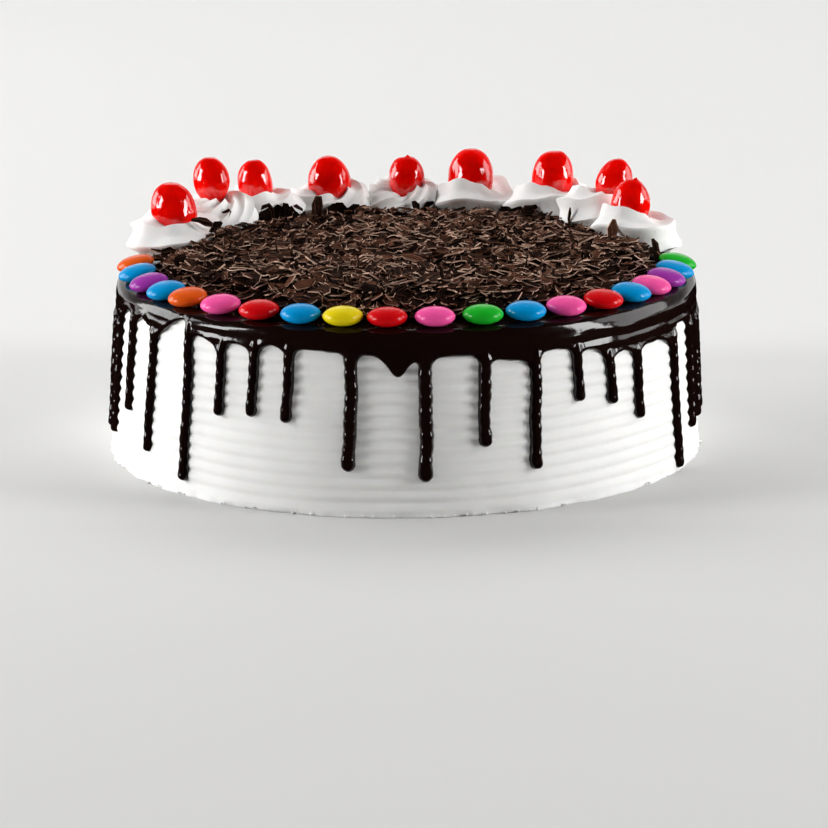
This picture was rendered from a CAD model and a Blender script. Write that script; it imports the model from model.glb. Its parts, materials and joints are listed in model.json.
"""A black forest cake: combed whipped cream under a dripping chocolate glaze, with a heap of
chocolate flakes, sugar-coated buttons round the front and cream rosettes with glazed cherries
round the back.

Metres, +Z up, -Y is the front. An azimuth runs from the front (-Y) towards +X. Rows of tables
are in millimetres and degrees, as their comments say.
"""

import itertools
import json
import math

import bpy
import numpy as np
from bpy.props import FloatProperty, FloatVectorProperty, IntProperty, PointerProperty
from mathutils import Matrix, Vector

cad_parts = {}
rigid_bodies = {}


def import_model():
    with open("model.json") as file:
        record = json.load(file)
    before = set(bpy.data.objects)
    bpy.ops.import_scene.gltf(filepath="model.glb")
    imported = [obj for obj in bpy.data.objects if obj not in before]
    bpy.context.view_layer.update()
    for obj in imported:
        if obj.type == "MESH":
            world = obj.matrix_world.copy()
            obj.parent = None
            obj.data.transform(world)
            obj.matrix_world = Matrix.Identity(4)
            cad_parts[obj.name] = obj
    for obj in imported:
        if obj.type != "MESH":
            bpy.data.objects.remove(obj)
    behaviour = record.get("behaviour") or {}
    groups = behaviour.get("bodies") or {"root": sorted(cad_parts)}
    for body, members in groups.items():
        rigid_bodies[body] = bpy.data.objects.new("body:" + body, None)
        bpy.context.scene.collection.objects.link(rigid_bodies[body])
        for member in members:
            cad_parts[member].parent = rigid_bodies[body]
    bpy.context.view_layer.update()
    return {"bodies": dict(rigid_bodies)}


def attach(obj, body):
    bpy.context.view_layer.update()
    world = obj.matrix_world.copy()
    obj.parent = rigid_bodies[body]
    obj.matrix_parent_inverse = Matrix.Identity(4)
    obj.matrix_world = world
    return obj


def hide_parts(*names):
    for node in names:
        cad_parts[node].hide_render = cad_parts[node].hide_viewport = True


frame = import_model()

bl_info = {
    "name": "Black Forest Cake",
    "version": (1, 0, 0),
    "blender": (4, 5, 0),
    "location": "3D View > Sidebar > Cake",
    "description": "Builds a whipped-cream cake with drip glaze, chocolate flakes and cherries",
    "category": "Add Mesh",
}

BODY = "root" if "root" in frame["bodies"] else next(iter(frame["bodies"]))
MM = 0.001
TURN = 2 * math.pi
RIGHT_ANGLE = math.pi / 2

# Drips at the front, from left to right: azimuth in degrees, then in millimetres the height of
# the tip, the width, how far the tip strays towards +X, and the height of the glaze's edge
# beside this drip, halfway to the next one and beside the next one.
FRONT_DRIPS = (
    (-87, 24.9, 3.4, 0, 44, 44, 44),
    (-83, 8.7, 3.2, 0, 45, 45, 46),
    (-76.6, 8.9, 3.6, -1.8, 49, 53.5, 53.5),
    (-67.1, 20.5, 3.6, -0.6, 51.5, 53.5, 50.5),
    (-57.3, 10.3, 3.6, -1.2, 49.5, 54.5, 57.8),
    (-45.7, 4.6, 3.8, -0.4, 53, 52.4, 50.2),
    (-37.1, 28.4, 3.6, -0.8, 52.3, 52.3, 51.3),
    (-29.7, 29.8, 3.7, -0.5, 52.8, 53.4, 52.4),
    (-22.5, 29, 3.8, -0.2, 53.1, 52.8, 52.2),
    (-10.3, 14.7, 4.5, -0.2, 51.8, 51.8, 51.6),
    (3.7, 11.5, 4.6, 0, 51.3, 51.3, 51),
    (14.8, 21.9, 4.3, 0, 49.9, 48.8, 47.9),
    (24.8, 13, 4.2, 0.1, 51.1, 51.1, 50.2),
    (34.1, 32.9, 3.9, 0.3, 49.1, 48.6, 46.5),
    (42, 30, 4.1, 0.9, 46.2, 46.9, 45.4),
    (49.9, 23, 3.9, 0.4, 46.2, 46.8, 44),
    (63.5, 0.8, 3.8, 1.9, 48.7, 49, 47.8),
    (73.8, 11, 3.8, 0, 46.4, 46.9, 46.2),
    (79.9, 12, 3.4, 0.3, 45, 45.5, 45),
    (84, 21.2, 3.2, 0, 46, 46, 46),
    (87.5, 11.6, 3.2, 0, 48, 49, 49),
)
# A blunt bulge of the edge that has not run down: azimuth, how far it hangs, half width.
BULGE = (-1.6, 6.6, 4.2)
# A small tear in the glaze: azimuth, height, half width and half height.
TEAR = (-59.6, 52.6, 0.9, 1.3)

# Drips round the back, which waves out of step make uneven: how many there are, and the
# azimuths of the first and the last in degrees.
BACK_DRIP_COUNT = 19
BACK_DRIP_FIRST = 93
BACK_DRIP_LAST = 263

# Coated buttons, from left to right: azimuth in degrees and colour.
BUTTONS = (
    (-88.9, "orange"),
    (-79.2, "blue"),
    (-68.5, "purple"),
    (-59.4, "blue"),
    (-51, "orange"),
    (-40.9, "pink"),
    (-31, "red"),
    (-21.6, "blue"),
    (-12.7, "yellow"),
    (-3.8, "red"),
    (5.7, "pink"),
    (15.4, "green"),
    (24.6, "blue"),
    (34.1, "pink"),
    (44.1, "red"),
    (53.2, "blue"),
    (61.6, "pink"),
    (70, "purple"),
    (78.4, "blue"),
    (86.8, "green"),
)

# Colours of the sugar shells.
SHELLS = {
    "orange": (0.8, 0.105, 0.008),
    "blue": (0.0001, 0.3, 0.68),
    "purple": (0.34, 0.035, 0.37),
    "pink": (0.96, 0.095, 0.37),
    "red": (0.68, 0.003, 0.006),
    "yellow": (0.86, 0.68, 0.006),
    "green": (0.012, 0.46, 0.024),
}

# Rosettes, from the left end of the ring to the right one: azimuth in degrees, height
# factor, and the cherry's width, height, step to the right and height of its top.
ROSETTES = (
    (-103.5, 0.98, 16, 17.4, 0, 86.6),
    (-122.4, 1.1, 13, 16.8, 1.3, 91.1),
    (-140, 1.02, 12.8, 15.4, -0.7, 86.9),
    (-160, 1, 15.5, 15.6, 0.5, 85.5),
    (-178.7, 0.97, 13.1, 16.4, 1.9, 84.3),
    (162.7, 1.04, 16.7, 16, -1.2, 87.5),
    (141.7, 1.1, 15, 16, 1.2, 88.9),
    (122.5, 1.14, 12.8, 15.8, 3.7, 89.6),
    (104.5, 1, 14.2, 15.4, -2, 86.7),
)
# Cherries, counted from 0, that still have the nub of their stalk.
CHERRIES_WITH_NUB = (4, 8)

# Where the heap is banked up against the rosettes: azimuth, extra height and spread.
HEAP_BANKS = (
    (134, 3.4, 15),
    (107, 1.2, 12),
    (-108, 2.2, 14),
    (-130, 1.6, 13),
    (-99, 2.8, 8),
)
# Where the heap spills out between the last buttons and the first rosettes, in degrees.
SPILL_AZIMUTH = 91
SPILL_SPREAD = 5
# How each rosette was piped: where the stroke begins in degrees, how far its grooves twist
# in a turn, how high it waves in millimetres, where the waves begin in degrees, how many
# grooves the nozzle left and how wide the rosette is for its size.
STROKES = (
    (150, 110, 0.5, 0, 5, 1.03),
    (60, 520, 0.7, 70, 9, 1),
    (100, 260, 0.6, 160, 6, 1),
    (40, 330, 0.8, 20, 7, 1),
    (120, 480, 0.6, 200, 9, 1),
    (130, 120, 0.8, 30, 5, 1),
    (90, 150, 0.8, 55, 5, 1),
    (70, 170, 0.8, 120, 6, 1.02),
    (60, 130, 0.9, 80, 5, 0.93),
)
# Where a stroke swells up into a petal or sinks: rosette, direction in degrees from +X,
# rise in millimetres and half the spread in degrees.
PETALS = (
    (1, -130, -0.4, 40),
    (1, 170, 1.2, 40),
    (2, -90, 1.6, 55),
    (3, -95, 1.4, 50),
    (4, -60, -1.2, 50),
    (4, -115, -1.8, 40),
    (5, -85, -2.6, 34),
    (5, 175, -1.6, 40),
    (6, -107, 3.2, 40),
    (6, -45, -0.6, 26),
    (6, -5, -1.8, 40),
    (7, -100, 2.6, 55),
    (8, 165, 2.2, 36),
    (8, -150, 2.8, 34),
    (8, -98, 3.4, 36),
    (9, -140, 3.9, 62),
    (9, 10, -3.4, 50),
)


# ---------------------------------------- settings

def length(label, text, millimetres):
    return FloatProperty(name=label, description=text, default=millimetres * MM, unit="LENGTH", precision=5)


def angle(label, text, degrees):
    return FloatProperty(name=label, description=text, default=math.radians(degrees), unit="ROTATION")


def factor(label, text, value):
    return FloatProperty(name=label, description=text, default=value, subtype="FACTOR")


def count(label, text, value):
    return IntProperty(name=label, description=text, default=value, min=1)


def colour(label, text, value):
    return FloatVectorProperty(
        name=label, description=text, default=value, subtype="COLOR", size=3, min=0, max=1
    )


class CreamSettings(bpy.types.PropertyGroup):
    """The combed coat of whipped cream and its crumbs"""

    foot_radius: length("Foot radius", "Radius of the cream's side just above its foot", 100.4)
    rim_radius: length("Rim radius", "Radius of the cream's side at its top", 96.7)
    height: length("Height", "Height of the cream under the glaze", 58.5)
    rounding: length("Rim rounding", "Rounding of the cream's upper edge", 3)
    foot_flare: length("Foot flare", "How far the foot spreads outward", 1.2)
    top_shift: length("Top shift", "How far the top stands to the right of the foot", 0.8)
    ridge_pitch: length("Ridge pitch", "Height from one comb ridge to the next", 3.93)
    ridge_depth: length("Ridge depth", "Depth of the grooves between the comb ridges", 0.62)
    first_crest: length("First crest", "Height of the lowest ridge's crest", 2.9)
    ridge_sway: length("Ridge sway", "How far the ridges wander up and down", 0.4)
    crumbs: count("Crumbs", "Number of crumbs along the foot", 140)
    columns: count("Columns", "Mesh columns round the side", 480)
    rows: count("Rows", "Mesh rows up the side", 142)
    tint: colour("Colour", "Colour of the whipped cream", (0.93, 0.925, 0.905))


class GlazeSettings(bpy.types.PropertyGroup):
    """The chocolate glaze and its drips"""

    top: length("Top", "Height of the glazed top", 60)
    thickness: length("Thickness", "Thickness of the glaze on the side, away from its edge", 1.35)
    drip_proud: length("Drip thickness", "How far a drip stands out of the cream", 2.1)
    rounding: length("Rim rounding", "Rounding of the glazed rim", 4.2)
    fillet: length("Fillet", "Rounding where a drip leaves the edge", 1.6)
    bead: length("Bead", "How far a drip swells over each comb ridge", 0.16)
    cell: length("Cell", "Mesh size of the glaze", 0.6)
    tint: colour("Colour", "Colour of the glaze", (0.0062, 0.0024, 0.0018))


class FlakeSettings(bpy.types.PropertyGroup):
    """The heap of chocolate flakes"""

    heap_height: length("Heap height", "Height of the heap over the glaze", 7.2)
    front_radius: length("Front radius", "How far the heap reaches towards the buttons", 84.4)
    front_edge: length("Front edge", "Height of the heap's edge at the buttons", 1.8)
    back_edge: length("Back edge", "Height of the heap's edge at the rosettes", 6.5)
    spill: length("Spill", "How far flakes spill out beside the last buttons", 4.5)
    slope: length("Slope", "Width of the slope behind the heap's edge", 13)
    plates: count("Plates", "Number of broad flakes", 3400)
    shreds: count("Shreds", "Number of long thin shavings", 1600)
    curls: count("Curls", "Number of rolled shavings", 200)
    splinters: count("Splinters", "Number of small splinters", 3000)
    gap: colour("Gap", "Colour deep between the flakes", (0.0035, 0.0012, 0.0007))
    dark: colour("Dark", "Colour of the faces of dark flakes", (0.023, 0.0128, 0.0095))
    brown: colour("Brown", "Colour of thin shavings", (0.13, 0.05, 0.028))
    pale: colour("Pale", "Colour of broken edges", (0.62, 0.41, 0.31))


class ButtonSettings(bpy.types.PropertyGroup):
    """The coated buttons round the front"""

    diameter: length("Diameter", "Diameter of a coated button", 13)
    thickness: length("Thickness", "Thickness of a coated button", 6)
    ring_radius: length("Ring radius", "Distance of the buttons from the cake's axis", 91.2)
    flattening: factor("Flattening", "How much flatter the buttons at the sides are", 0.13)
    tilt: angle("Tilt", "How far the buttons at the sides dip outward", 13)
    __annotations__.update({
        name: colour(name.capitalize(), f"Colour of the {name} shells", value)
        for name, value in SHELLS.items()
    })


class RosetteSettings(bpy.types.PropertyGroup):
    """The piped rosettes round the back"""

    ring_radius: length("Ring radius", "Distance of the rosettes from the cake's axis", 82)
    radius: length("Radius", "Radius of a rosette", 17)
    overlap: length("Overlap", "How far the flakes reach over a rosette's foot", 2)
    rope: length("Rope", "Half the width of the piped rope of cream", 7.6)
    rope_height: length("Rope height", "Half the height of the piped rope of cream", 7.6)
    turns: FloatProperty(name="Turns", description="Turns of the stroke round the cherry", default=1.45)
    groove_depth: factor("Groove depth", "Depth of the grooves as a share of the rope", 0.31)


class CherrySettings(bpy.types.PropertyGroup):
    """The glazed cherries on the rosettes"""

    dent: length("Dent", "Depth of the dents in a cherry", 0.7)
    taper: factor("Taper", "How much narrower a cherry is towards its top", 0.04)
    slenderness: factor("Slenderness", "Least height of a cherry for its width", 1.32)
    lean: factor("Lean", "How far a cherry leans outward for its height", 0.12)
    tint: colour("Colour", "Colour of the glazed fruit", (0.95, 0.003, 0.001))


class StageSettings(bpy.types.PropertyGroup):
    """The floor, the light and the camera"""

    floor: colour("Floor", "Colour of the floor", (0.66, 0.657, 0.648))
    wall: colour("Wall", "Colour of the sweep where it climbs behind the cake", (0.745, 0.742, 0.731))
    backdrop: colour("Backdrop", "Colour of the light from behind the cake", (0.85, 0.85, 0.84))
    camera: FloatVectorProperty(
        name="Camera",
        description="Place of the camera",
        default=(0.00303, -1.21774, 0.31006),
        subtype="XYZ",
        unit="LENGTH",
        precision=5,
    )
    pitch: angle("Pitch", "How far the camera looks down", 13.876)
    roll: angle("Roll", "How far the camera leans over", 0.4154)
    lens: FloatProperty(name="Lens", description="Focal length in millimetres", default=159.07)


# ---------------------------------------- shape tools

def settings(name):
    """The settings of one step of the build, which the scene holds."""
    return getattr(bpy.context.scene, f"cake_{name}")


def radians(degrees):
    """Degrees to radians, for a number or an array."""
    return np.radians(np.asarray(degrees, dtype=float))


def wrapped(turned):
    """An angle brought between minus and plus half a turn."""
    return (turned + math.pi) % TURN - math.pi


def mix(low, high, part):
    return low + (high - low) * part


def ease(value, low, high):
    """0 below low, 1 above high, and a smooth step between them."""
    part = np.clip((value - low) / (high - low), 0, 1)
    return part * part * (3 - 2 * part)


def hump(off, spread):
    """1 in the middle, and nearly 0 further off than twice the spread."""
    return np.exp(-((off / spread) ** 2))


def vectors(x, y, z):
    """Points from arrays of x, y and z, or single values for some of them."""
    return np.stack(np.broadcast_arrays(x, y, z), axis=-1)


def unit(rows):
    """The same directions, each with a length of 1."""
    return rows / np.linalg.norm(rows, axis=-1, keepdims=True)


def axes(along, across):
    """Frames from two axes at right angles; the third stands on both."""
    return np.stack([along, across, np.cross(along, across)], axis=-1)


# Numbers that scramble the place of a lattice cell into an even spread of values.
CELL_SCRAMBLE = (73856093, 19349663, 83492791)
SEED_SCRAMBLE = 40503
LAST_SCRAMBLE = 1274126177
LOW_BITS = 0xFFFF


def lattice_value(cells, seed):
    """A fixed random value from -1 to 1 for each cell of a lattice."""
    mixed = (cells * CELL_SCRAMBLE).sum(axis=-1) + seed * SEED_SCRAMBLE
    mixed = (mixed ^ (mixed >> 13)) * LAST_SCRAMBLE
    mixed ^= mixed >> 16
    return (mixed & LOW_BITS) / (LOW_BITS / 2) - 1


def lumps(points, size, seed):
    """Smooth random values from -1 to 1 that change over about that size."""
    scaled = np.asarray(points) / size
    low = np.floor(scaled).astype(np.int64)
    part = scaled - low
    part = part * part * (3 - 2 * part)
    total = np.zeros(scaled.shape[:-1])
    for corner in itertools.product((0, 1), repeat=3):
        corner = np.array(corner)
        weight = np.where(corner == 1, part, 1 - part).prod(axis=-1)
        total += weight * lattice_value(low + corner, seed)
    return total


def round_cake(radius, azimuth, height):
    """Points at a radius and azimuth round the cake's axis, which leans a little."""
    lean = settings("cream").top_shift * height / settings("glaze").top
    return vectors(radius * np.sin(azimuth) + lean, -radius * np.cos(azimuth), height)


def ball_angles(rows, columns):
    """Turns and elevations of a ball's points, without its poles."""
    turn = np.arange(columns)[None, :] * TURN / columns
    lift = np.linspace(-RIGHT_ANGLE, RIGHT_ANGLE, rows + 2)[1:-1, None]
    return turn, lift


def new_mesh(name, points, *face_sets):
    """A smooth-shaded mesh from a point array and arrays of faces with equal corners."""
    mesh = bpy.data.meshes.new(name)
    mesh.vertices.add(len(points))
    mesh.vertices.foreach_set("co", np.ascontiguousarray(points, dtype=np.float32).ravel())
    corners = np.concatenate([faces.ravel() for faces in face_sets])
    sizes = np.concatenate([np.full(len(faces), faces.shape[1]) for faces in face_sets])
    mesh.loops.add(len(corners))
    mesh.loops.foreach_set("vertex_index", corners.astype(np.int32))
    mesh.polygons.add(len(sizes))
    starts = np.concatenate([[0], np.cumsum(sizes)[:-1]])
    mesh.polygons.foreach_set("loop_start", starts.astype(np.int32))
    mesh.update(calc_edges=True)
    mesh.shade_smooth()
    return mesh


def grid_faces(rows, columns, first=0):
    """Quads between rows of points that each close on themselves."""
    row, column = np.meshgrid(np.arange(rows - 1), np.arange(columns), indexing="ij")
    low = first + row * columns
    after = (column + 1) % columns
    corners = [low + column, low + after, low + columns + after, low + columns + column]
    return np.stack(corners, axis=-1).reshape(-1, 4)


def cap_faces(first, columns, pole):
    """Triangles between one closed row of points and a pole."""
    side = np.arange(columns)
    return np.stack([first + side, first + (side + 1) % columns, np.full(columns, pole)], axis=-1)


def ring_mesh(name, start, rings, end):
    """A closed mesh of stacked rings (rows, sides, 3) with a pole at each end."""
    rows, sides = rings.shape[:2]
    points = np.concatenate([[start], rings.reshape(-1, 3), [end]])
    low_cap = cap_faces(1, sides, 0)[:, ::-1]
    high_cap = cap_faces(1 + (rows - 1) * sides, sides, len(points) - 1)
    return new_mesh(name, points, grid_faces(rows, sides, 1), np.concatenate([low_cap, high_cap]))


def add_piece(mesh, material, slot, *nodes):
    """Puts a mesh into the scene as a piece that rides on the cake and stands for nodes."""
    piece = bpy.data.objects.new(mesh.name, mesh)
    bpy.context.scene.collection.objects.link(piece)
    mesh.materials.append(material)
    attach(piece, BODY)
    if nodes:
        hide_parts(*nodes)
    return piece


# ---------------------------------------- materials

class Wire:
    """A socket whose value takes part in arithmetic: each operator adds one Math node."""

    def __init__(self, graph, socket):
        self.graph = graph
        self.socket = socket

    def _math(self, operation, *values):
        return self.graph.node("ShaderNodeMath", {"operation": operation}, dict(enumerate(values)))

    def __add__(self, other):
        return self._math("ADD", self, other)

    def __sub__(self, other):
        return self._math("SUBTRACT", self, other)

    def __rsub__(self, other):
        return self._math("SUBTRACT", other, self)

    def __mul__(self, other):
        return self._math("MULTIPLY", self, other)

    __radd__ = __add__
    __rmul__ = __mul__


class Graph:
    """The nodes of a material or a world, round its shader."""

    def __init__(self, owner, shader="Principled BSDF"):
        self.owner = owner
        owner.use_nodes = True
        self.tree = owner.node_tree
        self.shader = self.tree.nodes[shader]

    def node(self, kind, settings=None, inputs=None, output=0):
        """Adds a node: its settings come first, then its inputs, by name or number."""
        made = self.tree.nodes.new(kind)
        for key, value in (settings or {}).items():
            if key == "stops":
                self._set_stops(made.color_ramp, value)
            else:
                setattr(made, key, value)
        for key, value in (inputs or {}).items():
            self._feed(made.inputs[key], value)
        return Wire(self, made.outputs[output])

    def _set_stops(self, ramp, stops):
        while len(ramp.elements) < len(stops):
            ramp.elements.new(0.5)
        for element, (place, value) in zip(ramp.elements, stops):
            element.position = place
            element.color = (*value, 1) if isinstance(value, tuple) else (value, value, value, 1)

    def _feed(self, socket, value):
        if isinstance(value, Wire):
            self.tree.links.new(value.socket, socket)
        elif isinstance(value, tuple) and socket.type == "RGBA":
            socket.default_value = (*value, 1)
        else:
            socket.default_value = value

    def surface(self, **values):
        """Sets the shader's sockets; an underscore stands for a space."""
        for key, value in values.items():
            self._feed(self.shader.inputs[key.replace("_", " ")], value)

    def place(self):
        return self.node("ShaderNodeTexCoord", output="Object")

    def stretched(self, scale):
        """The place, stretched: small numbers draw a pattern out along that axis."""
        return self.node("ShaderNodeVectorMath", {"operation": "MULTIPLY"}, {0: self.place(), 1: scale})

    def noise(self, size, detail=2.0, roughness=0.5, vector=None):
        """Noise from 0 to 1, in spots of about that size."""
        inputs = {
            "Vector": vector or self.place(),
            "Scale": 1 / size,
            "Detail": detail,
            "Roughness": roughness,
        }
        return self.node("ShaderNodeTexNoise", None, inputs)

    def ramp(self, value, *stops):
        return self.node("ShaderNodeValToRGB", {"stops": stops}, {"Fac": value})

    def blend(self, part, low, high):
        """A colour that goes from low to high as part goes from 0 to 1."""
        inputs = {"Factor": part, 6: low, 7: high}
        return self.node("ShaderNodeMix", {"data_type": "RGBA"}, inputs, output=2)

    def bump(self, height, distance, strength=1.0, normal=None):
        inputs = {"Height": height, "Distance": distance, "Strength": strength}
        if normal:
            inputs["Normal"] = normal
        return self.node("ShaderNodeBump", None, inputs)


def new_material(name):
    """The graph of a new material."""
    return Graph(bpy.data.materials.new(name))


def darker(value, amount):
    """A colour with each channel scaled by the same amount."""
    return tuple(channel * amount for channel in value)


def cream_finish():
    """Whipped cream: white and satin, with fine pores and faint strokes of the comb."""
    white = tuple(settings("cream").tint)
    graph = new_material("whipped cream")
    clouds = graph.noise(12 * MM, 3)
    pores = graph.noise(0.42 * MM, 4, 0.6)
    strokes = graph.noise(0.9 * MM, 2, vector=graph.stretched((1, 1, 0.22)))
    tone = graph.ramp(clouds, (0.35, darker(white, 0.975)), (0.7, white))
    normal = graph.bump(pores, 0.09 * MM, 0.6)
    graph.surface(
        Base_Color=tone,
        Roughness=0.5 + pores * 0.16,
        Normal=graph.bump(strokes, 0.12 * MM, 0.5, normal),
        Specular_IOR_Level=0.35,
        Subsurface_Weight=0.25,
        Subsurface_Radius=(1.0, 0.85, 0.7),
        Subsurface_Scale=1.5 * MM,
    )
    return graph.owner


def glaze_finish():
    """Dark chocolate glaze: almost black, wet, with faint waves."""
    glaze = settings("glaze")
    graph = new_material("chocolate glaze")
    clouds = graph.noise(20 * MM, 2)
    waves = graph.noise(6 * MM, 2)
    grain = graph.noise(0.7 * MM, 3)
    tone = graph.blend(clouds, tuple(glaze.tint), darker(glaze.tint, 1.5))
    ripples = graph.noise(3 * MM, 1, vector=graph.stretched((0.14, 0.14, 1)))
    normal = graph.bump(ripples, 0.7 * MM, 0.75, graph.bump(waves, 0.4 * MM, 0.3))
    graph.surface(
        Base_Color=tone,
        Roughness=0.07 + grain * 0.06,
        Normal=graph.bump(grain, 0.03 * MM, 0.3, normal),
        Specular_IOR_Level=0.42,
    )
    return graph.owner


def flake_finish():
    """Chocolate flakes: dark faces with fine ribs along them and paler broken edges."""
    flakes = settings("flakes")
    graph = new_material("chocolate flakes")
    own = graph.node("ShaderNodeAttribute", {"attribute_name": "tone"}, output="Fac")
    across = graph.node("ShaderNodeAttribute", {"attribute_name": "across"}, output="Fac")
    ribs = graph.node(
        "ShaderNodeTexNoise",
        {"noise_dimensions": "1D"},
        {"W": across, "Scale": 1.6, "Detail": 3.0},
    )
    grain = graph.noise(0.6 * MM, 3, 0.6)
    level = own + (ribs - 0.5) + (grain - 0.5) * 0.3
    tone = graph.ramp(
        level,
        (0.08, tuple(flakes.gap)),
        (0.34, tuple(flakes.dark)),
        (0.62, tuple(flakes.brown)),
        (1.0, tuple(flakes.pale)),
    )
    normal = graph.bump(ribs, 0.25 * MM, 0.7)
    graph.surface(
        Base_Color=tone,
        Roughness=0.55 + grain * 0.2,
        Normal=graph.bump(grain, 0.12 * MM, 0.6, normal),
        Specular_IOR_Level=0.01,
    )
    return graph.owner


def cherry_finish():
    """Glazed fruit: bright red flesh under a clear wet syrup."""
    red = tuple(settings("cherry").tint)
    graph = new_material("glazed cherry")
    flesh = graph.noise(5 * MM, 3)
    skin = graph.noise(1.6 * MM, 2)
    wrinkles = graph.noise(3.4 * MM, 2, vector=graph.stretched((1, 1, 0.55)))
    tone = graph.ramp(flesh, (0.3, darker(red, 0.72)), (0.65, red))
    graph.surface(
        Base_Color=tone,
        Roughness=0.03 + skin * 0.05,
        Normal=graph.bump(wrinkles, 0.9 * MM, 0.38),
        Specular_IOR_Level=0.8,
        Subsurface_Weight=0.35,
        Subsurface_Radius=(1.0, 0.06, 0.03),
        Subsurface_Scale=4 * MM,
    )
    return graph.owner


def button_finish(name, tint):
    """A polished sugar shell, a little mottled."""
    graph = new_material(f"sugar shell {name}")
    clouds = graph.noise(4 * MM, 3)
    specks = graph.noise(0.6 * MM, 2)
    tone = graph.ramp(clouds, (0.3, darker(tint, 0.9)), (0.7, tint))
    graph.surface(
        Base_Color=tone,
        Roughness=0.16 + specks * 0.06,
        Normal=graph.bump(specks, 0.01 * MM, 0.2),
        Specular_IOR_Level=0.25,
    )
    return graph.owner


# ---------------------------------------- the cream coat

def cream_radius(height):
    """Radius of the cream's side over its ridges, without the flare at the foot."""
    cream = settings("cream")
    return mix(cream.foot_radius, cream.rim_radius, height / cream.height)


def ridge_crest(azimuth, height):
    """1 on the crest of a comb ridge and 0 in the groove beside it."""
    cream = settings("cream")
    sway = cream.ridge_sway * (np.sin(azimuth * 3 - 0.7) + 0.5 * np.sin(azimuth * 7 + 2))
    turn = (height - cream.first_crest - sway) / cream.ridge_pitch
    return (0.5 + 0.5 * np.cos(turn * TURN)) ** 0.75


def combed_radius(azimuth, height, relief=1.0):
    """Radius of the combed side; relief is how much of the ridges shows."""
    groove = 1 - ridge_crest(azimuth, height)
    return cream_radius(height) - settings("cream").ridge_depth * relief * groove


def cream_coat():
    """The combed coat, from its ragged foot to its rounded rim and flat top."""
    cream = settings("cream")
    azimuth = np.arange(cream.columns) * TURN / cream.columns
    shoulder = cream.height - cream.rounding
    heights = np.linspace(0, shoulder, cream.rows)[:, None]
    across = azimuth[None, :]
    radius = combed_radius(across, heights)
    flat = round_cake(radius, across, heights)
    wander = lumps(flat, 14 * MM, 3) * 0.22 * MM + lumps(flat, 2.2 * MM, 4) * 0.06 * MM
    ragged = lumps(flat * (1, 1, 0.2), 6 * MM, 5) + 0.6 * lumps(flat, 2.4 * MM, 6)
    foot = np.clip(1 - heights / cream.first_crest, 0, 1)
    spread = cream.foot_flare * foot * (0.75 + 0.5 * ragged)
    tuck = 0.5 * MM * np.clip(1 - heights / (0.6 * MM), 0, 1)
    side = round_cake(radius + wander + spread - tuck, across, heights)
    bend = np.linspace(0, RIGHT_ANGLE, 7)[1:, None]
    inset = cream.rounding * (1 - np.cos(bend))
    rim = round_cake(cream_radius(shoulder) - inset, across, shoulder + cream.rounding * np.sin(bend))
    disc = round_cake(cream.rim_radius * np.array([[0.7], [0.3]]), across, np.full((2, 1), cream.height))
    rings = np.concatenate([side, rim, disc])
    foot_centre = round_cake(0, 0, 0)
    return ring_mesh("cream_coat", foot_centre, rings, round_cake(0, 0, cream.height))


def foot_crumbs():
    """Crumbs of cream that the comb left along the foot."""
    cream = settings("cream")
    rng = np.random.default_rng(31)
    total = cream.crumbs
    turned = rng.uniform(0, TURN, total)
    radius = cream.foot_radius + cream.foot_flare * rng.beta(1.5, 3, total) * 0.9
    lengths, widths = rng.uniform(0.3, 0.9, (2, total)) * MM
    centres = round_cake(radius, turned, 0.3 * MM + rng.uniform(0, 0.5, total) * MM)
    heading = rng.uniform(0, TURN, total)
    along = vectors(np.cos(heading), np.sin(heading), 0.0)
    frames = axes(along, vectors(-np.sin(heading), np.cos(heading), 0.0))
    thick = rng.uniform(0.4, 0.6, total) * MM
    grains = strips(rng, centres, frames, lengths, widths, thick, np.zeros(total), 4)
    mesh = flake_mesh("cream_crumbs", grains, np.zeros(total), 0)
    mesh.shade_smooth()
    return mesh


# ---------------------------------------- the glaze

# Height at which every drip is counted as leaving the rim.
DRIP_START = 50 * MM
# Depth of the glaze's hidden inner face under its surface.
SKIN_DEPTH = 1.1 * MM
# How far round the rim the net of the side goes, in degrees.
RIM_CUT = 40


def all_drips():
    """Rows of azimuth in radians, then tip, width, stray and three edge heights in metres."""
    rows = list(FRONT_DRIPS)
    step = (BACK_DRIP_LAST - BACK_DRIP_FIRST) / (BACK_DRIP_COUNT - 1)
    for index in range(BACK_DRIP_COUNT):
        edge = 51 + 2.5 * math.sin(index * 1.7)
        rows.append((
            BACK_DRIP_FIRST + index * step + 1.6 * math.sin(index * 2.3),
            19 + 11 * math.sin(index * 4.1 + 1),
            3.8 + 0.3 * math.sin(index * 2.9),
            0.5 * math.sin(index * 1.3),
            edge + 0.8 * math.sin(index * 3.1),
            edge + 0.5,
            edge,
        ))
    table = np.array(rows) * MM
    table[:, 0] = np.radians(table[:, 0] / MM)
    return table


def edge_height(azimuth, drips):
    """Height of the glaze's edge along the arches between the drips."""
    shoulder = 2.4 * MM / settings("cream").rim_radius
    starts = drips[:, 0]
    spans = (np.roll(starts, -1) - starts) % TURN
    places = np.stack([starts + shoulder, starts + spans / 2, starts + spans - shoulder], axis=1)
    order = np.argsort(places.ravel() % TURN)
    heights = drips[:, 4:7].ravel()[order]
    return np.interp(azimuth % TURN, places.ravel()[order] % TURN, heights, period=TURN)


def smooth_max(first, second, reach):
    """The larger of two values, with a rounded change from one to the other."""
    overlap = np.clip(reach - np.abs(first - second), 0, None) / reach
    return np.maximum(first, second) + overlap * overlap * reach / 4


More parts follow.
